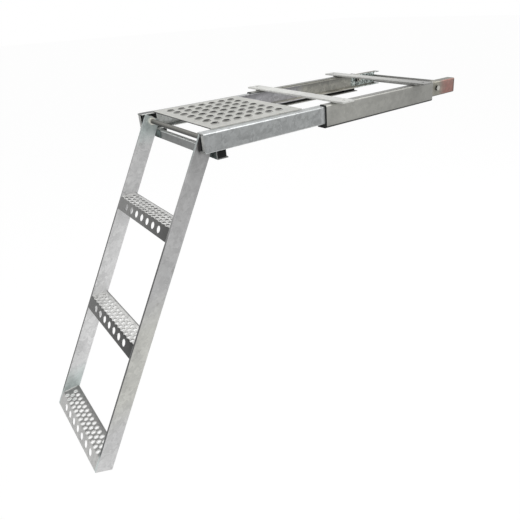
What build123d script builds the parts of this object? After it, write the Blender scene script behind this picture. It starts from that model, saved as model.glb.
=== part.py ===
from build123d import *
import os
from math import cos, radians, sin

# Pull-out step ladder for the underside of a vehicle, in millimetres.
# +X points back along the rails, under the vehicle, and the ladder hangs at the -X end.
# +Y points to the climber's left when facing the vehicle, and +Z points up.
# The origin is the centre of the four chassis bolt holes, on the top face of the two straps.

# Straps across the top, which bolt to the chassis
strap_overhang = 39.8
strap_width = 48.0
strap_thickness = 5.0
strap_spacing = 380.0
strap_corner_radius = 2.0
strap_hole_diameter = 11.0
strap_hole_to_end = 22.0

# Packing plates between the straps and the outer rails
spacer_length = 40.0
spacer_width = 14.0
spacer_thickness = 4.0
spacer_to_rail_side = 4.0

# Rails, bent from sheet to a C that is open towards the middle
rail_wall = 3.0
rail_bend_radius = 5.0
outer_bend_radius = 6.5
slider_width = 400.0
slider_height = 52.0
slider_flange = 30.0
slider_end_lip = 14.0
outer_top_flange = 25.0
outer_bottom_flange = 38.0
outer_mouth_to_strap = 53.0
outer_rear_to_strap = 83.0
slider_stand_out = 407.0
side_clearance = 1.2
top_clearance = 1.0
bottom_clearance = 9.6

# Plastic guides that the slider runs on
guide_gap = 0.3
guide_depth = 40.0
guide_lip = 3.0
rear_guide_length = 60.0
rear_guide_width = 18.0
rear_guide_setback = 6.0

# Platform sheet with raised holes
platform_length = 300.0
platform_side_setback = 24.0
platform_thickness = 3.0
platform_setback = 38.0
platform_corner_radius = 3.0
platform_hole_diameter = 18.0
platform_rim_height = 2.4
platform_rim_base = 3.2
platform_rim_top = 1.0
platform_hole_rows = 7
platform_hole_columns = 7
platform_front_margin = 38.0
platform_rear_margin = 49.0
platform_side_margin = 47.0

# Cross member under the slider that the ladder leans on
profile_end_setback = 18.0
profile_height = 27.5
profile_top_flange = 12.0
profile_bottom_flange = 35.0
profile_wall = 3.0
profile_bend_radius = 4.0
pad_length = 38.0
pad_thickness = 3.0
pad_gap = 0.3
plug_length = 20.0
plug_width = 26.0
plug_gap = 0.3

# Cross bar between the rear ends of the slider
cross_bar_height = 30.0
cross_bar_thickness = 5.0
cross_bar_drop = 16.0

# Height of the axle and the stop bolts above the middle of the slider rails
hole_rise = 3.0

# Stop bolts, M10
stop_bolt_to_outer = 31.0
stop_bolt_to_end = 106.0
stop_bolt_diameter = 10.0
stop_bolt_head_width = 17.0
stop_bolt_head_height = 6.4
stop_bolt_length = 20.0
stop_nut_height = 8.0
stop_washer_diameter = 20.0
stop_washer_thickness = 2.0
bolt_hole_gap = 0.25
hexagon_corner_cut = 0.07

# Slide blocks that carry the ladder's axle, and the axle's M14 nuts and washers
block_length = 41.0
block_gap = 0.3
block_corner_radius = 3.0
axle_setback = 24.7
axle_diameter = 14.0
axle_into_block = 20.0
axle_end_gap = 0.4
axle_end_chamfer = 1.0
axle_running_gap = 0.05
axle_nut_width = 21.0
axle_nut_height = 7.0
axle_nut_gap = 0.4
axle_washer_diameter = 28.0
axle_washer_thickness = 0.8

# Ladder
lean_angle = 27.75
stile_depth = 46.0
stile_thickness = 8.0
stile_side_gap = 1.2
stile_above_axle = 12.6
stile_below_axle = 927.9
stile_top_radius = 9.0
stile_edge_radius = 0.8
tread_names = ["tread_bottom", "tread_middle", "tread_top"]
tread_pitch = 322.3

# Treads, folded from sheet
tread_sheet = 2.0
tread_bend_radius = 4.0
tread_lip = 37.0
tread_rear_lip = 12.0
tread_end_lip = 14.0
lip_hole_diameter = 20.0
lip_hole_margin = 52.8
lip_hole_count = 7
grip_hole_diameter = 10.0
grip_rim_height = 1.5
grip_rim_base = 2.2
grip_rim_top = 0.7
grip_row_count = 3
grip_row_pitch = 12.6
grip_holes_in_row = 14
grip_front_margin = 7.0
grip_side_margin = 22.35

# Places along the rails
front_strap_x = -strap_spacing / 2
rear_strap_x = strap_spacing / 2
outer_front_x = front_strap_x - outer_mouth_to_strap
outer_rear_x = rear_strap_x + outer_rear_to_strap
outer_length = outer_rear_x - outer_front_x
stop_bolt_x = outer_rear_x + stop_bolt_to_outer
slider_front_x = outer_front_x - slider_stand_out
slider_rear_x = stop_bolt_x + stop_bolt_to_end
slider_length = slider_rear_x - slider_front_x
platform_front_x = slider_front_x + platform_setback
axle_x = slider_front_x + axle_setback

# Levels
outer_top_z = -strap_thickness - spacer_thickness
slider_top_z = outer_top_z - rail_wall - top_clearance
slider_bottom_z = slider_top_z - slider_height
hole_z = slider_top_z - slider_height / 2 + hole_rise
outer_bottom_z = slider_bottom_z - bottom_clearance - rail_wall
profile_bottom_z = slider_bottom_z - profile_height

# Half widths
slider_half = slider_width / 2
slider_flange_edge = slider_half - slider_flange
outer_half = slider_half + side_clearance + rail_wall
strap_half = outer_half + strap_overhang
platform_half = slider_half - platform_side_setback
profile_half = slider_half - profile_end_setback
stile_outer_face = slider_flange_edge - stile_side_gap
stile_inner_face = stile_outer_face - stile_thickness
tread_length = 2 * stile_inner_face

# The ladder's own directions in the X-Z plane: down along the stiles, and back across them
lean = radians(lean_angle)
down_x, down_z = -sin(lean), -cos(lean)
back_x, back_z = cos(lean), -sin(lean)
half_depth = stile_depth / 2
tread_depth = stile_depth / cos(lean)

# The rubber pads touch the back edges of the stiles with their top front corners
pad_front_x = axle_x + (half_depth + pad_gap - (hole_z - slider_bottom_z) * sin(lean)) / cos(lean)
profile_front_x = pad_front_x + pad_thickness


def ladder_point(along, across):
    """X and Z of a point that lies so far down the ladder and behind its centre line."""
    return (
        axle_x + along * down_x + across * back_x,
        hole_z + along * down_z + across * back_z,
    )


def to_left(right_piece):
    """The same piece on the other side of the object."""
    return mirror(right_piece, about=Plane.XZ)


def envelope(side_y, edge_y, low_z, high_z, radius):
    """Filled cross section of a right-hand rail, with its two outer corners rounded."""
    middle = Pos((side_y + edge_y) / 2, (low_z + high_z) / 2)
    block = middle * Rectangle(abs(side_y - edge_y), high_z - low_z)
    return fillet(block.vertices().group_by(Axis.X)[0], radius)


def along_x(section, start_x, length):
    """A Y-Z cross section made solid along X."""
    return extrude(Plane.YZ.offset(start_x) * section, length)


def along_y(section, start_y, length):
    """An X-Z cross section made solid along -Y, from start_y."""
    return extrude(Plane.XZ.offset(-start_y) * section, length)


def bent_sheet(points, radius, thickness, side):
    """Cross section of a folded sheet whose outer face follows the points."""
    with BuildSketch() as section:
        with BuildLine():
            FilletPolyline(*points, radius=radius)
            offset(amount=thickness, side=side)
        make_face()
    return section.sketch


def hexagon_along_y(width, start_y, length, x, z):
    """A hexagonal head or nut whose axis is along Y, with its corners turned down."""
    section = Pos(x, z) * RegularPolygon(width / 2, 6, major_radius=False)
    across_corners = width / cos(radians(30))
    blank = disc_along_y(across_corners, start_y, length, x, z)
    rims = blank.edges().filter_by(GeomType.CIRCLE)
    return along_y(section, start_y, length) & chamfer(rims, hexagon_corner_cut * width)


def disc_along_y(diameter, start_y, length, x, z):
    """A round bar, washer or hole whose axis is along Y."""
    return along_y(Pos(x, z) * Circle(diameter / 2), start_y, length)


def strap(centre_x):
    plate = Box(strap_width, 2 * strap_half, strap_thickness)
    plate = fillet(plate.edges().filter_by(Axis.Z), strap_corner_radius)
    hole_y = strap_half - strap_hole_to_end
    holes = [
        Pos(0, side * hole_y, 0) * Cylinder(strap_hole_diameter / 2, strap_thickness)
        for side in (-1, 1)
    ]
    return Pos(centre_x, 0, -strap_thickness / 2) * (plate - holes)


def strap_spacers():
    centre_y = outer_half - spacer_to_rail_side - spacer_width / 2
    centre_z = -strap_thickness - spacer_thickness / 2
    return [
        Pos(x, side * centre_y, centre_z) * Box(spacer_length, spacer_width, spacer_thickness)
        for x in (front_strap_x, rear_strap_x)
        for side in (-1, 1)
    ]


def outer_rail():
    """Right-hand outer rail."""
    inner_edge = -outer_half + outer_bottom_flange
    filled = envelope(-outer_half, inner_edge, outer_bottom_z, outer_top_z, outer_bend_radius)
    hollow = envelope(
        -outer_half + rail_wall,
        0,
        outer_bottom_z + rail_wall,
        outer_top_z - rail_wall,
        outer_bend_radius - rail_wall,
    )
    cut_width = outer_bottom_flange - outer_top_flange
    short_top = Pos(inner_edge - cut_width / 2, outer_top_z) * Rectangle(cut_width, 3 * rail_wall)
    return along_x(filled - hollow - short_top, outer_front_x, outer_length)


def slider_rail_end():
    """The front end of the right-hand slider rail's side, folded inwards."""
    outline = [
        (slider_front_x + 2 * rail_bend_radius, -slider_half),
        (slider_front_x, -slider_half),
        (slider_front_x, -slider_half + slider_end_lip),
    ]
    section = bent_sheet(outline, rail_bend_radius, rail_wall, Side.RIGHT)
    low = slider_bottom_z + rail_bend_radius
    return extrude(Plane.XY.offset(low) * section, slider_height - 2 * rail_bend_radius)


def slider_rail():
    """Right-hand slider rail, with its folded front end and the hole for its stop bolt."""
    filled = envelope(
        -slider_half, -slider_flange_edge, slider_bottom_z, slider_top_z, rail_bend_radius
    )
    hollow = envelope(
        -slider_half + rail_wall,
        0,
        slider_bottom_z + rail_wall,
        slider_top_z - rail_wall,
        rail_bend_radius - rail_wall,
    )
    rail = along_x(filled - hollow, slider_front_x, slider_length)
    fold_height = slider_height - 2 * rail_bend_radius
    fold_z = (slider_bottom_z + slider_top_z) / 2
    fold_room = Box(2 * rail_bend_radius, 2 * rail_bend_radius, fold_height)
    rail = rail - Pos(slider_front_x, -slider_half, fold_z) * fold_room + slider_rail_end()
    hole_diameter = stop_bolt_diameter + 2 * bolt_hole_gap
    hole_start = -slider_half + 2 * rail_wall
    return rail - disc_along_y(
        hole_diameter, hole_start, 3 * rail_wall, stop_bolt_x, hole_z
    )


def mouth_guide():
    """Right-hand plastic guide: a sleeve in the mouth of the outer rail, and a lip before it."""
    passage = envelope(
        -slider_half - guide_gap,
        0,
        slider_bottom_z - guide_gap,
        slider_top_z + guide_gap,
        rail_bend_radius + guide_gap,
    )
    top_edge = -outer_half + outer_top_flange
    bottom_edge = -outer_half + outer_bottom_flange
    above_slider = Pos((top_edge + bottom_edge) / 2, slider_top_z) * Rectangle(
        bottom_edge - top_edge, slider_height
    )
    sleeve = envelope(
        -outer_half + rail_wall,
        bottom_edge,
        outer_bottom_z + rail_wall,
        outer_top_z - rail_wall,
        outer_bend_radius - rail_wall,
    )
    lip = envelope(-outer_half, bottom_edge, outer_bottom_z, outer_top_z, outer_bend_radius)
    sleeve_part = along_x(sleeve - passage - above_slider, outer_front_x, guide_depth)
    lip_part = along_x(lip - passage - above_slider, outer_front_x - guide_lip, guide_lip)
    return sleeve_part + lip_part


def rear_guides():
    """Plastic pads on the outer rails' bottom flanges, at the rear ends."""
    thickness = bottom_clearance - guide_gap
    centre_x = outer_rear_x - rear_guide_setback - rear_guide_length / 2
    centre_y = slider_half - rail_bend_radius - rear_guide_width / 2
    centre_z = outer_bottom_z + rail_wall + thickness / 2
    pad = Box(rear_guide_length, rear_guide_width, thickness)
    return [Pos(centre_x, side * centre_y, centre_z) * pad for side in (-1, 1)]


def raised_hole(hole_diameter, rim_height, rim_base, rim_top):
    """The raised rim round a punched hole, standing on the X-Y plane."""
    radius = hole_diameter / 2
    return Pos(0, 0, rim_height / 2) * Cone(radius + rim_base, radius + rim_top, rim_height)


def platform():
    sheet = Box(platform_length, 2 * platform_half, platform_thickness)
    sheet = fillet(sheet.edges().filter_by(Axis.Z), platform_corner_radius)
    sheet = Pos(platform_length / 2, 0, platform_thickness / 2) * sheet
    pattern_length = platform_length - platform_front_margin - platform_rear_margin
    pattern_half = platform_half - platform_side_margin
    row_pitch = pattern_length / (platform_hole_rows - 1)
    column_pitch = 2 * pattern_half / (platform_hole_columns - 1)
    pattern = GridLocations(
        row_pitch, column_pitch, platform_hole_rows, platform_hole_columns
    )
    pattern_x = platform_front_margin + pattern_length / 2
    places = [Pos(pattern_x, 0, platform_thickness) * place for place in pattern]
    rim = raised_hole(
        platform_hole_diameter, platform_rim_height, platform_rim_base, platform_rim_top
    )
    depth = 4 * platform_thickness
    hole = Cylinder(platform_hole_diameter / 2, depth)
    sheet = sheet + [place * rim for place in places]
    sheet = sheet - [place * hole for place in places]
    return Pos(platform_front_x, 0, slider_top_z) * sheet


def stop_profile():
    """Folded cross member under both slider rails."""
    outline = [
        (profile_front_x + profile_top_flange, slider_bottom_z),
        (profile_front_x, slider_bottom_z),
        (profile_front_x, profile_bottom_z),
        (profile_front_x + profile_bottom_flange, profile_bottom_z),
    ]
    section = bent_sheet(outline, profile_bend_radius, profile_wall, Side.LEFT)
    return along_y(section, profile_half, 2 * profile_half)


def stop_pads():
    """Rubber pads on the front of the cross member, where the stiles lean on it."""
    centre_x = pad_front_x + pad_thickness / 2
    centre_y = profile_half - pad_length / 2
    height = profile_height - profile_bend_radius
    centre_z = slider_bottom_z - height / 2
    return [
        Pos(centre_x, side * centre_y, centre_z) * Box(pad_thickness, pad_length, height)
        for side in (-1, 1)
    ]


def profile_plugs():
    """Plastic plugs in the open ends of the cross member."""
    low = profile_bottom_z + profile_wall
    high = slider_bottom_z - profile_wall - plug_gap
    centre_x = profile_front_x + profile_bend_radius + plug_width / 2
    centre_y = profile_half - plug_length / 2
    plug = Box(plug_width, plug_length, high - low)
    return [Pos(centre_x, side * centre_y, (low + high) / 2) * plug for side in (-1, 1)]


def rear_cross_bar():
    length = slider_width - 2 * rail_wall
    centre_x = slider_rear_x - cross_bar_thickness / 2
    centre_z = slider_top_z - cross_bar_drop - cross_bar_height / 2
    return Pos(centre_x, 0, centre_z) * Box(cross_bar_thickness, length, cross_bar_height)


def stop_bolt():
    """Right-hand bolt, whose head stands out of the rail and meets the end of the outer rail."""
    head_face = -slider_half
    head = hexagon_along_y(
        stop_bolt_head_width, head_face, stop_bolt_head_height, stop_bolt_x, hole_z
    )
    shank_end = head_face + stop_bolt_length
    shank = disc_along_y(
        stop_bolt_diameter, shank_end, stop_bolt_length, stop_bolt_x, hole_z
    )
    return head + shank


def stop_washer():
    start = -slider_half + rail_wall + stop_washer_thickness
    hole_diameter = stop_bolt_diameter + 2 * bolt_hole_gap
    disc = disc_along_y(
        stop_washer_diameter, start, stop_washer_thickness, stop_bolt_x, hole_z
    )
    hole = disc_along_y(hole_diameter, start, stop_washer_thickness, stop_bolt_x, hole_z)
    return disc - hole


def stop_nut():
    start = -slider_half + rail_wall + stop_washer_thickness + stop_nut_height
    nut = hexagon_along_y(
        stop_bolt_head_width, start, stop_nut_height, stop_bolt_x, hole_z
    )
    bore = disc_along_y(
        stop_bolt_diameter, start, stop_nut_height, stop_bolt_x, hole_z
    )
    return nut - bore


def slide_block():
    """Right-hand plastic block in the front end of the slider channel."""
    low = slider_bottom_z + rail_wall + block_gap
    high = slider_top_z - rail_wall - block_gap
    side = -slider_half + rail_wall + block_gap
    section = envelope(side, -slider_flange_edge, low, high, block_corner_radius)
    block = along_x(section, slider_front_x + rail_bend_radius, block_length)
    bore_diameter = axle_diameter + 2 * axle_running_gap
    return block - disc_along_y(
        bore_diameter, -slider_flange_edge, axle_into_block, axle_x, hole_z
    )


def pivot_axle():
    """One round bar through both stiles, held in the two blocks."""
    half_length = slider_flange_edge + axle_into_block - axle_end_gap
    bar = disc_along_y(axle_diameter, half_length, 2 * half_length, axle_x, hole_z)
    ends = bar.edges().filter_by(GeomType.CIRCLE)
    return chamfer(ends, axle_end_chamfer)


def axle_nut():
    """Right-hand nut on the axle, beside the inner face of the stile."""
    start = -stile_inner_face + axle_nut_gap + axle_nut_height
    nut = hexagon_along_y(axle_nut_width, start, axle_nut_height, axle_x, hole_z)
    return nut - disc_along_y(axle_diameter, start, axle_nut_height, axle_x, hole_z)


def axle_washer():
    """Right-hand washer in the gap between the stile and its block."""
    spare = (stile_side_gap - axle_washer_thickness) / 2
    start = -slider_flange_edge + spare + axle_washer_thickness
    disc = disc_along_y(axle_washer_diameter, start, axle_washer_thickness, axle_x, hole_z)
    bore_diameter = axle_diameter + 2 * axle_running_gap
    return disc - disc_along_y(bore_diameter, start, axle_washer_thickness, axle_x, hole_z)


def stile():
    """Right-hand stile: a flat bar that turns on the axle."""
    corners = [
        ladder_point(-stile_above_axle, -half_depth),
        ladder_point(-stile_above_axle, half_depth),
        ladder_point(stile_below_axle, half_depth),
        ladder_point(stile_below_axle, -half_depth),
    ]
    outline = make_face(Polyline(*corners, close=True))
    top_back = outline.vertices().sort_by_distance((corners[1][0], corners[1][1], 0))[0]
    outline = fillet(top_back, stile_top_radius)
    bar = along_y(outline, -stile_inner_face, stile_thickness)
    faces = bar.faces().sort_by(Axis.Y)
    bar = fillet(faces[0].edges() + faces[-1].edges(), stile_edge_radius)
    hole_diameter = axle_diameter + 2 * axle_running_gap
    hole_start = -stile_inner_face + stile_thickness
    return bar - disc_along_y(hole_diameter, hole_start, 3 * stile_thickness, axle_x, hole_z)


def tread(along):
    """A tread whose front fold lies so far down the ladder from the axle."""
    front_x, top_z = ladder_point(along, -half_depth)
    rear_x = front_x + tread_depth
    outline = [
        (front_x + tread_lip * down_x, top_z + tread_lip * down_z),
        (front_x, top_z),
        (rear_x, top_z),
        (rear_x + tread_rear_lip * down_x, top_z + tread_rear_lip * down_z),
    ]
    section = bent_sheet(outline, tread_bend_radius, tread_sheet, Side.RIGHT)
    sheet = along_y(section, stile_inner_face, tread_length)
    sheet = sheet + tread_ends(front_x, rear_x, top_z)
    sheet = sheet + grip_shapes(front_x, top_z, grip_rim())
    sheet = sheet - grip_shapes(front_x, top_z, Cylinder(grip_hole_diameter / 2, 4 * tread_sheet))
    return sheet - lip_holes(front_x, top_z)


def tread_ends(front_x, rear_x, top_z):
    """Turned-down ends that are welded to the stiles."""
    reach = tread_end_lip / cos(lean)
    inset = tread_bend_radius
    corners = [
        (front_x + inset, top_z - tread_sheet / 2),
        (rear_x - inset, top_z - tread_sheet / 2),
        (rear_x - inset + reach * down_x, top_z + reach * down_z),
        (front_x + inset + reach * down_x, top_z + reach * down_z),
    ]
    section = make_face(Polyline(*corners, close=True))
    right_end = along_y(section, -stile_inner_face + tread_sheet, tread_sheet)
    return [right_end, to_left(right_end)]


def grip_rim():
    """A raised rim with a skirt, which joins the front row to the fold below it."""
    rim = raised_hole(grip_hole_diameter, grip_rim_height, grip_rim_base, grip_rim_top)
    skirt_depth = tread_sheet / 2
    skirt = Cylinder(grip_hole_diameter / 2 + grip_rim_base, skirt_depth)
    return rim + Pos(0, 0, -skirt_depth / 2) * skirt


def grip_shapes(front_x, top_z, shape):
    """Copies of a shape at the raised holes, in rows that are staggered by half a pitch."""
    hole_pitch = (tread_length - 2 * grip_side_margin) / (grip_holes_in_row - 1)
    copies = []
    for row in range(grip_row_count):
        x = front_x + grip_front_margin + row * grip_row_pitch
        count = grip_holes_in_row - row % 2
        for place in GridLocations(0, hole_pitch, 1, count):
            copies.append(Pos(x, 0, top_z) * place * shape)
    return copies


def lip_holes(front_x, top_z):
    """Round holes square through the middle of the front lip."""
    centre_x = front_x + tread_lip / 2 * down_x
    centre_z = top_z + tread_lip / 2 * down_z
    lip_plane = Plane(
        origin=(centre_x, 0, centre_z), x_dir=(0, 1, 0), z_dir=(back_x, 0, back_z)
    )
    hole_pitch = (tread_length - 2 * lip_hole_margin) / (lip_hole_count - 1)
    hole = Cylinder(lip_hole_diameter / 2, 4 * tread_sheet)
    return [
        lip_plane * place * hole
        for place in GridLocations(hole_pitch, 0, lip_hole_count, 1)
    ]


def both_sides(name, right_piece):
    """Two nodes, one for each side."""
    return {name + "_right": right_piece, name + "_left": to_left(right_piece)}


def pair(right_piece):
    """The same piece on both sides, as two separate solids of one node."""
    return [right_piece, to_left(right_piece)]


nodes = {
    "front_strap": strap(front_strap_x),
    "rear_strap": strap(rear_strap_x),
    "strap_spacers": strap_spacers(),
    "rear_guides": rear_guides(),
    "platform": platform(),
    "stop_profile": stop_profile(),
    "stop_pads": stop_pads(),
    "profile_plugs": profile_plugs(),
    "rear_cross_bar": rear_cross_bar(),
    "stop_bolts": pair(stop_bolt()),
    "stop_washers": pair(stop_washer()),
    "stop_nuts": pair(stop_nut()),
    "pivot_axle": pivot_axle(),
    "axle_nuts": pair(axle_nut()),
    "axle_washers": pair(axle_washer()),
}
nodes.update(both_sides("outer_rail", outer_rail()))
nodes.update(both_sides("slider_rail", slider_rail()))
nodes.update(both_sides("mouth_guide", mouth_guide()))
nodes.update(both_sides("slide_block", slide_block()))
nodes.update(both_sides("stile", stile()))
for step, tread_name in enumerate(tread_names):
    nodes[tread_name] = tread(stile_below_axle - tread_lip - step * tread_pitch)

os.makedirs("parts", exist_ok=True)
for node_name, node_shape in nodes.items():
    if isinstance(node_shape, list):
        node_shape = Compound(children=node_shape)
    export_step(node_shape, f"parts/{node_name}.step")
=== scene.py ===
import random
from math import cos, pi, radians, sin, tau

import bmesh
import bpy
from mathutils import Matrix, Vector


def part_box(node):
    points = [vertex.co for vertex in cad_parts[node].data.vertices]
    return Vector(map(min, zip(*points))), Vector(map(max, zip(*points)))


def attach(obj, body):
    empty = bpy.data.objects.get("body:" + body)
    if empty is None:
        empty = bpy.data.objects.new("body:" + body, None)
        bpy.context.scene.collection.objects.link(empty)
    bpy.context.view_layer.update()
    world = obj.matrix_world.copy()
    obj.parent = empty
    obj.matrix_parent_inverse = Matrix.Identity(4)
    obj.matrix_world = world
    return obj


# Looks of the pull-out step ladder, in metres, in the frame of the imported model.

# Camera, fitted to the photo
photo_size = 520
focal_px = 483.05
centre_px = (303.53, 206.55)
camera_place = Vector((-1.2015, -1.2475, 0.2716))
camera_azimuth = radians(39.23)
camera_drop = radians(22.89)
camera_roll = radians(-3.04)
camera_reach = (0.05, 200.0)
sensor_width = 36.0

# Studio
white = (1, 1, 1, 1)
floor_level = -1.10
floor_size = 60.0
floor_colour = (0.86, 0.86, 0.86)
floor_white_share = 0.85
floor_white = 1.10
backdrop_white = 1.0
ambient_level = 0.38

# Square lamps: the place, the point that each one is aimed at, the side and the level
platform_middle = (-0.46, 0.0, -0.05)
bottom_tread_middle = (-1.03, 0.0, -0.80)
softboxes = {
    "key_softbox": ((1.28, -1.11, 2.10), platform_middle, 1.25, 6.0),
    "front_softbox": ((-2.4, -1.3, 1.6), bottom_tread_middle, 1.6, 2.2),
}

# Weld beads: their rings of corners, their ripples and lumps, and their thinner ends
weld_ring_pitch = 0.0012
weld_fewest_rings = 6
weld_sides = 8
weld_radius = 0.0020
weld_ripple = 0.16
weld_rings_per_ripple = 3
weld_lumps = 0.10
weld_end_share = 0.35
weld_end_growth = 4
weld_sink = 0.0005
weld_margin = 0.006
strap_weld_margin = 0.012

# Sizes of the ladder that the welds and finishes follow
lean = radians(27.75)
stile_depth = 0.046
grip_rim_height = 0.0015

# Sockets of the Mix node, where several have the same name
mix_value_inputs = (2, 3)
mix_colour_inputs = (6, 7)
mix_colour_output = 2

# A tone is a grey from 0 for black to 1 for clean zinc. A zone is an axis of the object and the two
# places between which a finish changes. A turn is an axis and the two values of the surface's
# direction on it between which a finish changes. A fold is the lowest and the highest Z of the
# direction in it. A pattern made of noise is its scale and its detail.
middle_of_noise = (0.3, 0.7)
bend_blend = 0.1
outward_range = (0.4, 0.6)
bevel_samples = 4
flat_match = 0.995
edge_match = 0.80

# All zinc: its patterns, and how far each one sways the tone
sheet_metallic = 0.3
fastener_metallic = 0.6
crystal_wobble = 0.035
wobble_ratio = 0.9
wobble_detail = 2.0
fine_crystal_ratio = 3.1
fine_crystal_share = 0.4
zinc_clouds = (7.0, 5.0)
cloud_distortion = 0.4
cloud_sway = 0.09
zinc_runs = (1.0, 4.0)
run_sway = 0.07
zinc_grain = (900.0, 2.0)
zinc_specks = (55.0, 4.0)
speck_range = (0.66, 0.74)
speck_share = 0.25
speck_colour = (0.22, 0.20, 0.17)
zinc_edge_radius = 0.0012
zinc_edge_wear = 0.35
worn_edge_colour = (0.85, 0.85, 0.85)

# All zinc: how rough and how high its patterns are
crystal_roughness = (0.34, 0.46)
cloud_roughness_sway = 0.06
speck_roughness = 0.2
crystal_height = 0.5
cloud_height = 1.5
zinc_bump = 0.00010

# Each kind of zinc: the scale and strength of its crystals, and how its runs are squeezed on X, Y, Z
bar_pattern = (90.0, 0.10, (6.0, 6.0, 6.0))
outer_rail_pattern = (70.0, 0.08, (3.0, 40.0, 40.0))
slider_pattern = (80.0, 0.17, (3.0, 40.0, 40.0))
profile_pattern = (80.0, 0.13, (30.0, 3.0, 60.0))
stile_pattern = (75.0, 0.10, (30.0, 30.0, 3.0))
tread_pattern = (110.0, 0.14, (8.0, 8.0, 8.0))
platform_pattern = (110.0, 0.10, (8.0, 8.0, 8.0))
fastener_pattern = (200.0, 0.06, (60.0, 60.0, 60.0))
weld_pattern = (260.0, 0.14, (90.0, 90.0, 90.0))

# Flat bars: the tone at the near and the far end of each; the rear strap's lower tones are painted
# shade
bar_zone = ("Y", -0.22, 0.10)
bar_tint = (1.0, 1.005, 0.96)
bar_tones = {
    "front_strap": (0.74, 0.80),
    # The rear strap's lower tones are painted shade, darkest at its near end.
    "rear_strap": (0.30, 0.64),
    "strap_spacers": (0.40, 0.40),
    "rear_cross_bar": (0.30, 0.30),
}

# Outer rails, front to rear, with painted shade darker towards the rear, most of all on top, and
# along the underside folds, and a painted highlight along the top fold
outer_rail_zone = ("X", -0.25, 0.28)
outer_rail_tint = (1.0, 1.0, 0.93)
outer_rail_side_tones = (0.42, 0.33)
outer_rail_top_tones = (0.36, 0.07)
outer_rail_top_turn = ("Z", 0.4, 0.9)
outer_rail_fold = (0.25, 0.8)
outer_rail_fold_tone = 0.50
outer_rail_underside = (-1.1, -0.02)
outer_rail_under_tone = 0.02

# Slider rails, outside: a painted highlight band just ahead of the outer rails' mouths, dull where
# they run in the outer rails, darker behind them, and painted shade along the very end
slider_mouth_highlight_zone = ("X", -0.266, -0.258)
slider_web_and_mouth_highlight_tones = (0.40, 0.53)
slider_run_zone = ("X", -0.2, -0.1)
slider_outside = [
    (slider_run_zone, 0.20),
    (("X", 0.255, 0.270), 0.30),
    # A band of painted shade along the very end.
    (("X", 0.400, 0.408), 0.12),
]

# Slider rails, inside: painted shade high up, crusted past the outer rails, and painted lighter in
# front, where the platform shades them
slider_inside_zone = ("X", -0.10, 0.10)
slider_inside_tones = (0.62, 0.48)
slider_shaded_zone = ("Z", -0.036, -0.020)
slider_shaded_share = 0.55
slider_crust_zone = ("X", 0.262, 0.275)
slider_crust = (130.0, 2.0)
slider_crust_range = (0.42, 0.60)
slider_crust_tones = (0.22, 0.95)
slider_painted_light_front = (("X", -0.35, -0.50), 1.0)

# Slider rails: the top with a painted tone of its own, the far rail's dark front corner, the folds
# with painted highlights and painted shade, and the front edges darkened as painted shade
slider_open_zone = ("X", -0.65, -0.25)
slider_top_tones = (0.60, 0.50)
slider_rear_zone = ("X", 0.20, 0.27)
slider_rear_top = (slider_rear_zone, 0.30)
slider_top_end = (("X", 0.300, 0.315), 0.16)
slider_top_turn = ("Z", 0.7, 0.95)
far_side = ("Y", 0.0, 0.01)
front_corner = ("X", -0.600, -0.612)
far_corner_tone = 0.06
slider_fold = (0.25, 0.85)
slider_inner_fold_tone = 0.12
slider_outer_fold_tones = (0.96, 0.48)
slider_low_fold = (-0.9, -0.3)
slider_low_fold_tones = (0.66, 0.05)
slider_forward_turn = ("X", -0.70, -0.90)
slider_forward_tone = 0.42

# Slider rails: cool in front and olive behind, with a blue crust and old red primer on the rear ends
slider_outside_tint = (0.965, 1.0, 1.0)
slider_olive = (slider_run_zone, (1.05, 1.02, 0.86))
slider_inside_tint = (0.98, 1.0, 0.96)
slider_inside_tints = [
    (("X", -0.45, -0.35), (1.01, 1.0, 1.05)),
    (("X", -0.03, 0.01), (1.02, 1.01, 0.92)),
    (slider_crust_zone, (0.90, 1.02, 0.98)),
]
slider_outside_turn = ("Z", 0.25, 0.50)
primer_zone = ("X", 0.316, 0.350)
primer_tint = (1.10, 0.54, 0.45)
primer_patches = (28.0, 4.0)
primer_patch_range = (0.30, 0.50)
primer_patch_share = (0.75, 1.0)

# Cross member under the front of the slider, with painted shade along the bottom and a top painted
# bright against its shade
profile_zone = ("Z", -0.093, -0.085)
profile_tones = (0.19, 0.28)
profile_tint = (0.97, 1.0, 0.98)
profile_top_turn = ("Z", 0.2, 0.4)
profile_top_tone = 0.90

# Stiles, outside: painted lighter towards the ground, and painted shade beside the slide blocks,
# where the rails shade them
stile_outside_zone = ("Z", -0.85, -0.05)
stile_outside_tones = (0.78, 0.43)
stile_painted_shade_zones = (("Z", -0.075, -0.062), ("X", -0.656, -0.652))
stile_painted_shade_tone = 0.13

# Stiles, inside: painted lighter towards the ground, and darker at the top and right by the ground
stile_inside_zone = ("Z", -0.45, -0.25)
stile_inside_tones = (0.92, 0.70)
stile_near_ground = ("Z", -0.735, -0.79)
stile_inside = [
    (("Z", -0.070, -0.045), 0.48),
    (stile_near_ground, 0.74),
]

# Stiles: the front edge, painted dark as shade, and the tints
stile_front_turn = ("X", -0.60, -0.80)
stile_front_zone = ("Z", -0.30, -0.20)
stile_front_tones = (0.08, 0.45)
stile_front_foot = (("Z", -0.80, -0.815), 0.70)
stile_warm_zones = (("Z", -0.76, -0.68), ("Z", -0.40, -0.50))
stile_plain_tint = (1.0, 1.0, 1.0)
stile_warm_tint = (1.0, 1.0, 0.94)
stile_top_zone = ("Z", -0.11, -0.06)
stile_inner_end_tint = (0.95, 1.05, 1.03)

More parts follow.
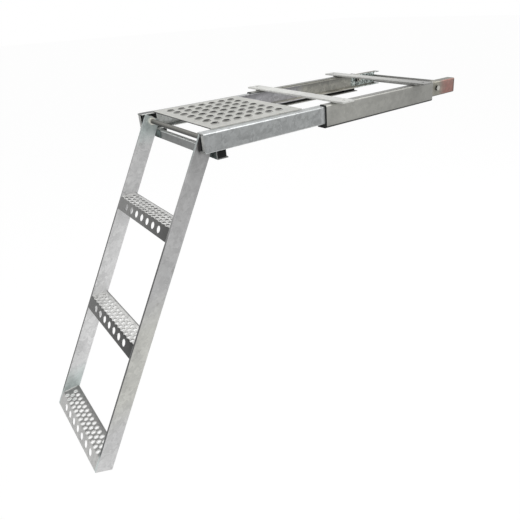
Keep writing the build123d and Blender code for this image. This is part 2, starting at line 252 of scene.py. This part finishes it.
# Treads: the tone of the top, of the lip's near and far end, and of the walls of the holes, painted
# lighter or darker as light and shade fall on each tread
tread_tones = {
    "tread_top": (1.0, 0.06, 0.22, 0.30),
    "tread_middle": (0.94, 0.01, 0.12, 0.72),
    "tread_bottom": (0.34, 0.60, 0.58, 1.0),
}
tread_tint = (1.0, 1.0, 0.98)
tread_lip_zone = ("Y", -0.15, 0.10)
front_fold_reach = (0.007, 0.004)
rear_fold_reach = (0.006, 0.003)
rear_fold_tone = 0.26
rim_highlight_heights = (0.0002, 0.0006)
rim_highlight_tone = 1.0
tread_top_turn = ("Z", 0.45, 0.65)
hole_wall_turn = ("Z", 0.15, 0.05)

# Platform, from its flat sheet to the slopes round its holes and down into them, with painted shade
# on the slopes and in the holes
platform_tint = (1.0, 1.0, 0.94)
platform_flat_turn = ("Z", 0.75, 0.95)
platform_flat_tone = 0.60
platform_slope_turn = ("Z", 0.3, 0.6)
platform_slope_tone = 0.26
platform_hole_tone = 0.07
platform_edge = (0.170, 0.174)
platform_edge_tone = 0.50

# Bolts, nuts, washers, axle and welds
fastener_tint = (1.0, 0.99, 0.90)
axle_nut_tone = 0.95
# The stop washers' near-black tone is painted shade round the stop bolts.
stop_washer_tone = 0.05
bolt_head_range = (0.6, 0.9)
bolt_side_tone = 0.05
bolt_head_tone = 0.50
axle_turn = ("Z", -0.1, 0.7)
axle_tones = (0.04, 0.22)
weld_tone = 0.80
weld_tint = (1.0, 1.0, 0.98)

# Black parts: the tone, the roughness, the scale of the grain, and the share and colour of the dust,
# which on the rubber pads is also a painted sheen
nylon = (0.008, 0.50, 700.0, 0.10, (0.16, 0.19, 0.18))
# The rubber's large grey-teal share is dust and painted sheen.
rubber = (0.007, 0.75, 350.0, 0.85, (0.26, 0.32, 0.31))
black_grain_detail = 3.0
black_clouds = (25.0, 4.0)
black_edge_radius = 0.001
scuff_range = (0.4, 0.6)
scuff_share = (0.05, 0.4)
scuff_colour = (0.08, 0.08, 0.08)
dust_and_sheen_range = (0.35, 0.65)
black_roughness_sway = 0.08
black_specular = 0.15
black_bump = 0.00015

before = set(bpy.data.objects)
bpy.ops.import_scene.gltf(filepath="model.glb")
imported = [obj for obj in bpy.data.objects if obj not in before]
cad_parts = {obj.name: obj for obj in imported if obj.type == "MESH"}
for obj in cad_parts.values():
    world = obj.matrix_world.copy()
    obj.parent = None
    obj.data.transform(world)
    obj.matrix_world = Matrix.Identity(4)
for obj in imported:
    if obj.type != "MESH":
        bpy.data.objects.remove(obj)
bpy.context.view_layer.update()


def look_matrix(place, azimuth, drop, roll):
    """Camera matrix that looks along +Y, turned towards +X, then down, then rolled."""
    forward = Vector((sin(azimuth) * cos(drop), cos(azimuth) * cos(drop), -sin(drop)))
    right = forward.cross(Vector((0, 0, 1))).normalized()
    up = right.cross(forward)
    rolled_right = right * cos(roll) + up * sin(roll)
    rolled_up = up * cos(roll) - right * sin(roll)
    turn = Matrix((rolled_right, rolled_up, -forward)).transposed()
    return Matrix.Translation(place) @ turn.to_4x4()


def add_camera():
    camera = bpy.data.objects.new("photo_camera", bpy.data.cameras.new("photo_camera"))
    bpy.context.scene.collection.objects.link(camera)
    camera.matrix_world = look_matrix(camera_place, camera_azimuth, camera_drop, camera_roll)
    camera.data.sensor_width = sensor_width
    camera.data.lens = sensor_width * focal_px / photo_size
    camera.data.shift_x = (photo_size / 2 - centre_px[0]) / photo_size
    camera.data.shift_y = (centre_px[1] - photo_size / 2) / photo_size
    camera.data.clip_start, camera.data.clip_end = camera_reach
    bpy.context.scene.camera = camera


def seen_directly(tree):
    """1 for rays from the camera, from metal and through glass, and 0 for light that falls."""
    light_path = tree.nodes.new("ShaderNodeLightPath")
    total = light_path.outputs["Is Camera Ray"]
    for name in ("Is Glossy Ray", "Is Transmission Ray"):
        step = tree.nodes.new("ShaderNodeMath")
        step.operation = "MAXIMUM"
        tree.links.new(total, step.inputs[0])
        tree.links.new(light_path.outputs[name], step.inputs[1])
        total = step.outputs[0]
    return total


def mix_by(tree, share, first, second, output_kind):
    """Leads a mix of two shaders to the output."""
    mix = tree.nodes.new("ShaderNodeMixShader")
    output = tree.nodes.new(output_kind)
    for socket, source in zip(mix.inputs, (share, first.outputs[0], second.outputs[0])):
        tree.links.new(source, socket)
    tree.links.new(mix.outputs[0], output.inputs["Surface"])


def add_world():
    world = bpy.data.worlds.new("studio")
    bpy.context.scene.world = world
    world.use_nodes = True
    tree = world.node_tree
    tree.nodes.clear()
    ambient = tree.nodes.new("ShaderNodeBackground")
    backdrop = tree.nodes.new("ShaderNodeBackground")
    for node, strength in ((ambient, ambient_level), (backdrop, backdrop_white)):
        node.inputs["Color"].default_value = white
        node.inputs["Strength"].default_value = strength
    mix_by(tree, seen_directly(tree), ambient, backdrop, "ShaderNodeOutputWorld")


def floor_material():
    material = bpy.data.materials.new("pale_floor")
    material.use_nodes = True
    tree = material.node_tree
    tree.nodes.clear()
    matt = tree.nodes.new("ShaderNodeBsdfDiffuse")
    matt.inputs["Color"].default_value = (*floor_colour, 1)
    glow = tree.nodes.new("ShaderNodeEmission")
    glow.inputs["Strength"].default_value = floor_white
    share = tree.nodes.new("ShaderNodeMath")
    share.operation = "MULTIPLY"
    share.inputs[1].default_value = floor_white_share
    tree.links.new(seen_directly(tree), share.inputs[0])
    mix_by(tree, share.outputs[0], matt, glow, "ShaderNodeOutputMaterial")
    return material


def add_floor():
    half = floor_size / 2
    corners = [(-half, -half), (half, -half), (half, half), (-half, half)]
    mesh = bpy.data.meshes.new("studio_floor")
    mesh.from_pydata([(x, y, floor_level) for x, y in corners], [], [(0, 1, 2, 3)])
    floor = bpy.data.objects.new("studio_floor", mesh)
    mesh.materials.append(floor_material())
    bpy.context.scene.collection.objects.link(floor)


def add_softbox(name, place, aim, side, level):
    """A square lamp. Its level is its brightness, on the scale where 1 is white."""
    lamp = bpy.data.lights.new(name, "AREA")
    lamp.shape = "SQUARE"
    lamp.size = side
    lamp.energy = level * pi * side * side
    softbox = bpy.data.objects.new(name, lamp)
    bpy.context.scene.collection.objects.link(softbox)
    softbox.location = place
    softbox.rotation_euler = (Vector(aim) - Vector(place)).to_track_quat("-Z", "Y").to_euler()
    softbox.visible_camera = False


class Shader:
    """A material with short calls for the nodes that the finishes are made of."""

    def __init__(self, name, metallic):
        self.material = bpy.data.materials.new(name)
        self.material.use_nodes = True
        self.tree = self.material.node_tree
        self.surface = self.tree.nodes["Principled BSDF"]
        self.surface.inputs["Metallic"].default_value = metallic
        coordinates = self.tree.nodes.new("ShaderNodeTexCoord")
        self.place = coordinates.outputs["Object"]
        self.direction = coordinates.outputs["Normal"]

    def add(self, kind, **values):
        """A node with its inputs set to values or linked to outputs, by the inputs' names."""
        node = self.tree.nodes.new(kind)
        for name, value in values.items():
            self.put(node.inputs[name.replace("_", " ")], value)
        return node

    def put(self, socket, value):
        if isinstance(value, bpy.types.NodeSocket):
            self.tree.links.new(value, socket)
        else:
            socket.default_value = value

    def math(self, operation, a, b):
        node = self.tree.nodes.new("ShaderNodeMath")
        node.operation = operation
        self.put(node.inputs[0], a)
        self.put(node.inputs[1], b)
        return node.outputs[0]

    def product(self, a, b):
        return self.math("MULTIPLY", a, b)

    def magnitude(self, value):
        return self.math("ABSOLUTE", value, 0.0)

    def total(self, *values):
        result = values[0]
        for value in values[1:]:
            result = self.math("ADD", result, value)
        return result

    def squeezed(self, scales):
        """Coordinates scaled along the object's axes, so that a pattern is drawn out."""
        node = self.add("ShaderNodeMapping", Vector=self.place)
        node.inputs["Scale"].default_value = scales
        return node.outputs[0]

    def noise(self, scale, detail, where=None, distortion=0.0):
        node = self.add(
            "ShaderNodeTexNoise",
            Vector=where or self.place,
            Scale=scale,
            Detail=detail,
            Distortion=distortion,
        )
        return node.outputs["Fac"]

    def cells(self, scale, where):
        """A random grey for each crystal-like cell."""
        node = self.add("ShaderNodeTexVoronoi", Vector=where, Scale=scale)
        split = self.add("ShaderNodeSeparateColor", Color=node.outputs["Color"])
        return split.outputs[0]

    def spread(self, value, low, high, to_low, to_high):
        """The value's range from low to high, carried over to another range and held there."""
        node = self.add("ShaderNodeMapRange", Value=value)
        limits = (low, high, to_low, to_high)
        for name, limit in zip(("From Min", "From Max", "To Min", "To Max"), limits):
            node.inputs[name].default_value = limit
        return node.outputs[0]

    def mask(self, value, start, end):
        """0 on the start's side of the value's range and 1 on the end's side."""
        return self.spread(value, start, end, 0.0, 1.0)

    def sway(self, noise, reach, middle=0.0):
        """A noise as a value that goes so far down and up from the middle."""
        return self.spread(noise, *middle_of_noise, middle - reach, middle + reach)

    def part_of(self, vector, axis):
        return self.add("ShaderNodeSeparateXYZ", Vector=vector).outputs[axis]

    def along(self, zone, at_start, at_end):
        """A value that changes evenly through a zone."""
        axis, start, end = zone
        return self.spread(self.part_of(self.place, axis), start, end, at_start, at_end)

    def past(self, zone):
        """0 before a zone and 1 past it."""
        return self.along(zone, 0.0, 1.0)

    def past_both(self, zones):
        return self.product(*[self.past(zone) for zone in zones])

    def facing(self, turn):
        """1 where the surface's direction is past a turn."""
        axis, start, end = turn
        return self.mask(self.part_of(self.direction, axis), start, end)

    def outward(self):
        """1 on faces that look away from the middle of the object."""
        side = self.math("SIGN", self.part_of(self.place, "Y"), 0.0)
        look = self.product(side, self.part_of(self.direction, "Y"))
        return self.mask(look, *outward_range)

    def bend(self, low, high):
        """1 where the surface turns between two heights of its Z direction."""
        height = self.part_of(self.direction, "Z")
        rise = self.mask(height, low, low + bend_blend)
        fall = self.mask(height, high, high - bend_blend)
        return self.product(rise, fall)

    def between(self, amount, first, second):
        """A value between two, by amount."""
        node = self.add("ShaderNodeMix", Factor=amount)
        for number, value in zip(mix_value_inputs, (first, second)):
            self.put(node.inputs[number], value)
        return node.outputs[0]

    def changed(self, tone, *changes):
        """A tone that becomes another one past each change's zone."""
        for zone, next_tone in changes:
            tone = self.between(self.past(zone), tone, next_tone)
        return tone

    def tinted(self, amount, first, second):
        """A colour between two, by amount."""
        node = self.tree.nodes.new("ShaderNodeMix")
        node.data_type = "RGBA"
        self.put(node.inputs[0], amount)
        for number, colour in zip(mix_colour_inputs, (first, second)):
            self.put(node.inputs[number], (*colour, 1) if isinstance(colour, tuple) else colour)
        return node.outputs[mix_colour_output]

    def retinted(self, tint, *changes):
        """A tint that becomes another one past each change's zone."""
        for zone, next_tint in changes:
            tint = self.tinted(self.past(zone), tint, next_tint)
        return tint

    def scaled(self, colour, factor):
        node = self.tree.nodes.new("ShaderNodeVectorMath")
        node.operation = "SCALE"
        self.put(node.inputs[0], colour)
        self.put(node.inputs["Scale"], factor)
        return node.outputs[0]

    def edges(self, radius):
        """Rounded normal at the sharp edges, and how near an edge a point is."""
        rounded = self.add("ShaderNodeBevel", Radius=radius)
        rounded.samples = bevel_samples
        flat = self.tree.nodes.new("ShaderNodeNewGeometry").outputs["Normal"]
        match = self.tree.nodes.new("ShaderNodeVectorMath")
        match.operation = "DOT_PRODUCT"
        self.put(match.inputs[0], rounded.outputs[0])
        self.put(match.inputs[1], flat)
        nearness = self.mask(match.outputs["Value"], flat_match, edge_match)
        return rounded.outputs[0], nearness

    def bump(self, height, distance, normal):
        node = self.add("ShaderNodeBump", Height=height, Distance=distance, Normal=normal)
        return node.outputs[0]

    def finish(self, colour, roughness, normal):
        self.put(self.surface.inputs["Base Color"], colour)
        self.put(self.surface.inputs["Roughness"], roughness)
        self.put(self.surface.inputs["Normal"], normal)
        return self.material


def zinc_level(shader, crystals, fine_crystals, clouds, runs, spangle):
    """How much brighter or duller than its tone the zinc is, as a factor."""
    fine_spangle = fine_crystal_share * spangle
    return shader.total(
        shader.spread(crystals, 0.0, 1.0, 1.0 - spangle, 1.0 + spangle),
        shader.spread(fine_crystals, 0.0, 1.0, -fine_spangle, fine_spangle),
        shader.sway(clouds, cloud_sway),
        shader.sway(runs, run_sway),
    )


def zinc(shader, tone, tint, pattern):
    """Hot-dip zinc: crystal spangle, cloudy dull patches, faint runs and brighter edges."""
    crystal_scale, spangle, squeeze = pattern
    wobble = shader.noise(wobble_ratio * crystal_scale, wobble_detail)
    shift = shader.tinted(crystal_wobble, shader.place, wobble)
    crystals = shader.cells(crystal_scale, shift)
    fine_crystals = shader.cells(fine_crystal_ratio * crystal_scale, shift)
    clouds = shader.noise(*zinc_clouds, distortion=cloud_distortion)
    runs = shader.noise(*zinc_runs, where=shader.squeezed(squeeze))
    specks = shader.mask(shader.noise(*zinc_specks), *speck_range)
    level = zinc_level(shader, crystals, fine_crystals, clouds, runs, spangle)
    normal, near_edge = shader.edges(zinc_edge_radius)
    colour = shader.scaled(tint, shader.product(level, tone))
    colour = shader.tinted(shader.product(specks, speck_share), colour, speck_colour)
    colour = shader.tinted(shader.product(near_edge, zinc_edge_wear), colour, worn_edge_colour)
    rough = shader.total(
        shader.spread(crystals, 0.0, 1.0, *crystal_roughness),
        shader.sway(clouds, cloud_roughness_sway),
        shader.product(specks, speck_roughness),
    )
    height = shader.total(
        shader.noise(*zinc_grain),
        shader.product(crystals, crystal_height),
        shader.product(clouds, cloud_height),
    )
    return shader.finish(colour, rough, shader.bump(height, zinc_bump, normal))


def bar_zinc(name, near_tone, far_tone):
    shader = Shader(name + "_zinc", sheet_metallic)
    tone = shader.along(bar_zone, near_tone, far_tone)
    return zinc(shader, tone, bar_tint, bar_pattern)


def outer_rail_zinc():
    """Painted shade, darker towards the rear, most of all on top, and on the underside folds, with a
    painted highlight on the top fold.
    """
    shader = Shader("outer_rail_zinc", sheet_metallic)
    side = shader.along(outer_rail_zone, *outer_rail_side_tones)
    top = shader.along(outer_rail_zone, *outer_rail_top_tones)
    # The top's own tone and the darkening towards the rear are painted shade.
    tone = shader.between(shader.facing(outer_rail_top_turn), side, top)
    # Painted highlight along the top fold.
    tone = shader.between(shader.bend(*outer_rail_fold), tone, outer_rail_fold_tone)
    # Painted shade along the underside folds.
    tone = shader.between(shader.bend(*outer_rail_underside), tone, outer_rail_under_tone)
    return zinc(shader, tone, outer_rail_tint, outer_rail_pattern)


def slider_inside_tone(shader):
    inside = shader.along(slider_inside_zone, *slider_inside_tones)
    # Painted shade high up on the inside.
    inside = shader.product(inside, shader.along(slider_shaded_zone, 1.0, slider_shaded_share))
    crust = shader.spread(shader.noise(*slider_crust), *slider_crust_range, *slider_crust_tones)
    # In front, the inside is painted lighter against the platform's shade.
    return shader.changed(inside, (slider_crust_zone, crust), slider_painted_light_front)


def slider_top_tone(shader):
    top = shader.along(slider_open_zone, *slider_top_tones)
    top = shader.changed(top, slider_rear_top)
    top = shader.between(shader.past_both((far_side, front_corner)), top, far_corner_tone)
    return shader.changed(top, slider_top_end)


def slider_tone(shader, outward):
    """Painted highlight on the outer folds and painted shade in the inner ones, low folds painted
    bright in front and dark at the rear, front faces painted darker as shade, and its own tone on
    each side and a painted one on top.
    """
    # The web's tone, with a band of painted highlight just ahead of the outer rails' mouths.
    web_and_mouth_highlight = shader.along(slider_mouth_highlight_zone, *slider_web_and_mouth_highlight_tones)
    outside = shader.changed(web_and_mouth_highlight, *slider_outside)
    tone = shader.between(outward, slider_inside_tone(shader), outside)
    tone = shader.between(shader.facing(slider_top_turn), tone, slider_top_tone(shader))
    # Painted highlight on the outer folds, painted shade in the inner ones.
    outer_fold = shader.along(slider_open_zone, *slider_outer_fold_tones)
    fold = shader.between(outward, slider_inner_fold_tone, outer_fold)
    tone = shader.between(shader.bend(*slider_fold), tone, fold)
    # Low folds: painted highlight in front, painted shade at the rear.
    low_fold = shader.along(slider_rear_zone, *slider_low_fold_tones)
    tone = shader.between(shader.bend(*slider_low_fold), tone, low_fold)
    # Front-facing faces painted darker as shade.
    return shader.between(shader.facing(slider_forward_turn), tone, slider_forward_tone)


def slider_tint(shader, outward):
    """One tint along the inside, another along the outside, and patchy primer at the rear."""
    outside = shader.retinted(slider_outside_tint, slider_olive)
    inside = shader.retinted(slider_inside_tint, *slider_inside_tints)
    seen = shader.math("MAXIMUM", outward, shader.facing(slider_outside_turn))
    tint = shader.tinted(seen, inside, outside)
    patches = shader.spread(
        shader.noise(*primer_patches), *primer_patch_range, *primer_patch_share
    )
    rear = shader.product(outward, shader.past(primer_zone))
    return shader.tinted(shader.product(rear, patches), tint, primer_tint)


def slider_rail_zinc():
    shader = Shader("slider_rail_zinc", sheet_metallic)
    outward = shader.outward()
    return zinc(shader, slider_tone(shader, outward), slider_tint(shader, outward), slider_pattern)


def profile_zinc():
    """Slightly green, with runs along its length, painted shade along the bottom and a top painted
    bright against its shade.
    """
    shader = Shader("profile_zinc", sheet_metallic)
    # Painted shade along the bottom.
    tone = shader.along(profile_zone, *profile_tones)
    # The top painted bright against its shade under the axle.
    tone = shader.between(shader.facing(profile_top_turn), tone, profile_top_tone)
    return zinc(shader, tone, profile_tint, profile_pattern)


def stile_tone(shader, outward):
    """Painted lighter towards the ground, with painted shade on the front edge and beside the slide
    blocks, where the rails shade the outside.
    """
    # Painted lighter towards the ground.
    outside = shader.along(stile_outside_zone, *stile_outside_tones)
    # Painted shade on the outside beside the slide blocks, where the rails shade the stiles.
    outside = shader.between(shader.past_both(stile_painted_shade_zones), outside, stile_painted_shade_tone)
    # Inside, painted lighter towards the ground.
    inside = shader.along(stile_inside_zone, *stile_inside_tones)
    inside = shader.changed(inside, *stile_inside)
    tone = shader.between(outward, inside, outside)
    # Painted shade along the front edge.
    front = shader.along(stile_front_zone, *stile_front_tones)
    front = shader.changed(front, stile_front_foot)
    return shader.between(shader.facing(stile_front_turn), tone, front)


def stile_tint(shader, outward):
    """Warm outside, halfway down, and slightly green inside at both ends."""
    warm = shader.product(shader.past_both(stile_warm_zones), outward)
    tint = shader.tinted(warm, stile_plain_tint, stile_warm_tint)
    ends = shader.math("MAXIMUM", shader.past(stile_near_ground), shader.past(stile_top_zone))
    inner_ends = shader.product(ends, shader.math("SUBTRACT", 1.0, outward))
    return shader.tinted(inner_ends, tint, stile_inner_end_tint)


def stile_zinc():
    shader = Shader("stile_zinc", sheet_metallic)
    outward = shader.outward()
    return zinc(shader, stile_tone(shader, outward), stile_tint(shader, outward), stile_pattern)


def tread_sizes(tread):
    """The X of a tread's front fold and of its rear one, and the height of its flat top."""
    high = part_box(tread)[1]
    return high[0] - stile_depth / cos(lean), high[0], high[2] - grip_rim_height


def tread_zinc(tread, top_tone, near_lip_tone, far_lip_tone, wall_tone):
    """Painted highlight on the rims, with the lip, the rear fold and the walls of the holes painted
    with this tread's light and shade.
    """
    shader = Shader(tread + "_zinc", sheet_metallic)
    front, rear, flat = tread_sizes(tread)
    lip = shader.along(tread_lip_zone, near_lip_tone, far_lip_tone)
    front_fold = ("X", *[front + reach for reach in front_fold_reach])
    # The rims' bright tone is a painted highlight.
    rim_highlight_zone = ("Z", *[flat + height for height in rim_highlight_heights])
    rear_fold = ("X", *[rear - reach for reach in rear_fold_reach])
    top = shader.changed(
        top_tone, (front_fold, lip), (rim_highlight_zone, rim_highlight_tone), (rear_fold, rear_fold_tone)
    )
    # Top, lip and hole walls toned with this tread's light and shade.
    tone = shader.between(shader.facing(tread_top_turn), lip, top)
    tone = shader.between(shader.facing(hole_wall_turn), tone, wall_tone)
    return zinc(shader, tone, tread_tint, tread_pattern)


def platform_zinc():
    """Painted shade on the slopes round the holes and inside them."""
    shader = Shader("platform_zinc", sheet_metallic)
    flat = shader.facing(platform_flat_turn)
    # Painted shade on the slopes round the holes and inside them.
    tone = shader.between(flat, platform_slope_tone, platform_flat_tone)
    tone = shader.between(shader.facing(platform_slope_turn), platform_hole_tone, tone)
    from_middle = shader.magnitude(shader.part_of(shader.place, "Y"))
    tone = shader.between(shader.mask(from_middle, *platform_edge), tone, platform_edge_tone)
    return zinc(shader, tone, platform_tint, platform_pattern)


def fastener_zinc(name, tone):
    shader = Shader(name + "_zinc", fastener_metallic)
    return zinc(shader, tone, fastener_tint, fastener_pattern)


def stop_zinc():
    """Bright on the flat of the bolt heads, with painted shade round them."""
    shader = Shader("stop_fastener_zinc", fastener_metallic)
    across = shader.magnitude(shader.part_of(shader.direction, "Y"))
    # Dark sides of the heads and nuts as painted shade.
    tone = shader.between(shader.mask(across, *bolt_head_range), bolt_side_tone, bolt_head_tone)
    return zinc(shader, tone, fastener_tint, fastener_pattern)


def axle_zinc():
    """Painted shade below, darker than on top."""
    shader = Shader("axle_zinc", fastener_metallic)
    # Painted shade on the underside.
    tone = shader.between(shader.facing(axle_turn), *axle_tones)
    return zinc(shader, tone, fastener_tint, fastener_pattern)


def weld_zinc():
    shader = Shader("weld_zinc", sheet_metallic)
    return zinc(shader, weld_tone, weld_tint, weld_pattern)


def plain_black(name, tone, roughness, grain_scale, dust_and_sheen_share, dust_and_sheen_colour):
    """Moulded nylon or rubber, with a fine grain, scuffed edges and dust, which on the rubber is
    thick enough to be a painted sheen as well.
    """
    shader = Shader(name, metallic=0.0)
    grain = shader.noise(grain_scale, black_grain_detail)
    clouds = shader.noise(*black_clouds)
    normal, near_edge = shader.edges(black_edge_radius)
    scuffs = shader.product(near_edge, shader.spread(clouds, *scuff_range, *scuff_share))
    dust_and_sheen = shader.spread(clouds, *dust_and_sheen_range, 0.0, dust_and_sheen_share)
    colour = shader.tinted(dust_and_sheen, (tone, tone, tone), dust_and_sheen_colour)
    colour = shader.tinted(scuffs, colour, scuff_colour)
    rough = shader.sway(grain, black_roughness_sway, roughness)
    shader.surface.inputs["Specular IOR Level"].default_value = black_specular
    return shader.finish(colour, rough, shader.bump(grain, black_bump, normal))


def dress(finishes):
    """Gives each CAD node its finish, by its name or the start of it."""
    for name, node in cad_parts.items():
        fitting = [start for start in finishes if name.startswith(start)]
        node.data.materials.clear()
        node.data.materials.append(finishes[max(fitting, key=len)])


def all_finishes():
    """A finish for each CAD node's name, or for the start of several names."""
    finishes = {bar: bar_zinc(bar, *tones) for bar, tones in bar_tones.items()}
    for tread, tones in tread_tones.items():
        finishes[tread] = tread_zinc(tread, *tones)
    finishes["outer_rail"] = outer_rail_zinc()
    finishes["slider_rail"] = slider_rail_zinc()
    finishes["stop_profile"] = profile_zinc()
    finishes["platform"] = platform_zinc()
    finishes["stile"] = stile_zinc()
    finishes["pivot_axle"] = axle_zinc()
    finishes["axle_"] = fastener_zinc("axle_nut", axle_nut_tone)
    finishes["stop_washers"] = fastener_zinc("stop_washer", stop_washer_tone)
    finishes["stop_pads"] = plain_black("black_rubber_pad", *rubber)
    stop_finish = stop_zinc()
    for name in ("stop_bolts", "stop_nuts"):
        finishes[name] = stop_finish
    nylon_finish = plain_black("black_nylon_guide", *nylon)
    for name in ("mouth_guide", "rear_guides", "slide_block", "profile_plugs"):
        finishes[name] = nylon_finish
    return finishes


def weld_rings(mesh, start, end, chance):
    """Rings of corners along a bead, with its ripples, its lumps and its thinner ends."""
    forward = (end - start).normalized()
    across = forward.orthogonal().normalized()
    other = forward.cross(across)
    turns = [tau * side / weld_sides for side in range(weld_sides)]
    ring_count = max(weld_fewest_rings, round((end - start).length / weld_ring_pitch))
    rings = []
    for step in range(ring_count + 1):
        share = step / ring_count
        ripple = weld_ripple * sin(step * tau / weld_rings_per_ripple)
        swell = 1.0 + ripple + chance.uniform(-weld_lumps, weld_lumps)
        from_end = min(share, 1 - share)
        taper = min(1.0, weld_end_share + weld_end_growth * from_end)
        reach = weld_radius * swell * taper
        centre = start.lerp(end, share)
        rings.append([
            mesh.verts.new(centre + reach * (across * cos(turn) + other * sin(turn)))
            for turn in turns
        ])
    return rings


def weld_run(mesh, start, end, chance):
    """A lumpy bead of weld from start to end."""
    rings = weld_rings(mesh, start, end, chance)
    for lower, upper in zip(rings, rings[1:]):
        for side in range(weld_sides):
            after = (side + 1) % weld_sides
            mesh.faces.new((lower[side], lower[after], upper[after], upper[side]))
    mesh.faces.new(list(reversed(rings[0])))
    mesh.faces.new(rings[-1])


def add_welds(name, start, end, body):
    """A weld bead from start to end and its mirror image on the other side, as one piece."""
    mesh = bmesh.new()
    chance = random.Random(name)
    for side in (-1, 1):
        mirrored = [Vector((x, side * y, z)) for x, y, z in (start, end)]
        weld_run(mesh, *mirrored, chance)
    bmesh.ops.recalc_face_normals(mesh, faces=mesh.faces)
    for face in mesh.faces:
        face.smooth = True
    data = bpy.data.meshes.new(name)
    mesh.to_mesh(data)
    mesh.free()
    data.materials.append(weld_finish)
    piece = bpy.data.objects.new(name, data)
    bpy.context.scene.collection.objects.link(piece)
    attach(piece, body)


def add_tread_welds(tread):
    """Beads along the top of a tread, where it meets the stiles."""
    front, rear, flat = tread_sizes(tread)
    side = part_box(tread)[1][1] - weld_sink
    start = (front + weld_margin, side, flat)
    end = (rear - weld_margin, side, flat)
    add_welds(tread + "_welds", start, end, "ladder")


def add_strap_welds(strap):
    """Beads along the outer sides of the packing plates, between a strap and the rails."""
    low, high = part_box(strap)
    seam_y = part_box("strap_spacers")[1][1] + weld_sink
    seam_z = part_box("outer_rail_left")[1][2] + weld_sink
    start = (low[0] + strap_weld_margin, seam_y, seam_z)
    end = (high[0] - strap_weld_margin, seam_y, seam_z)
    add_welds(strap + "_welds", start, end, "fixed_frame")


def add_cross_bar_welds():
    """Upright beads at the ends of the rear cross bar."""
    low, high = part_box("rear_cross_bar")
    start = (low[0], high[1] - weld_sink, low[2] + weld_margin)
    end = (low[0], high[1] - weld_sink, high[2] - weld_margin)
    add_welds("cross_bar_welds", start, end, "slider")


def add_stop_profile_welds():
    """Beads along the front corner of the stop profile's top, under the slider rails."""
    low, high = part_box("stop_profile")
    rail_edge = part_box("slider_rail_left")[0][1]
    start = (low[0], rail_edge + weld_margin, high[2])
    end = (low[0], high[1] - weld_margin, high[2])
    add_welds("stop_profile_welds", start, end, "slider")


dress(all_finishes())
weld_finish = weld_zinc()
for tread in tread_tones:
    add_tread_welds(tread)
for strap in ("front_strap", "rear_strap"):
    add_strap_welds(strap)
add_cross_bar_welds()
add_stop_profile_welds()

add_camera()
add_world()
add_floor()
for name, (place, aim, side, level) in softboxes.items():
    add_softbox(name, place, aim, side, level)

bpy.context.scene.view_settings.view_transform = "Standard"
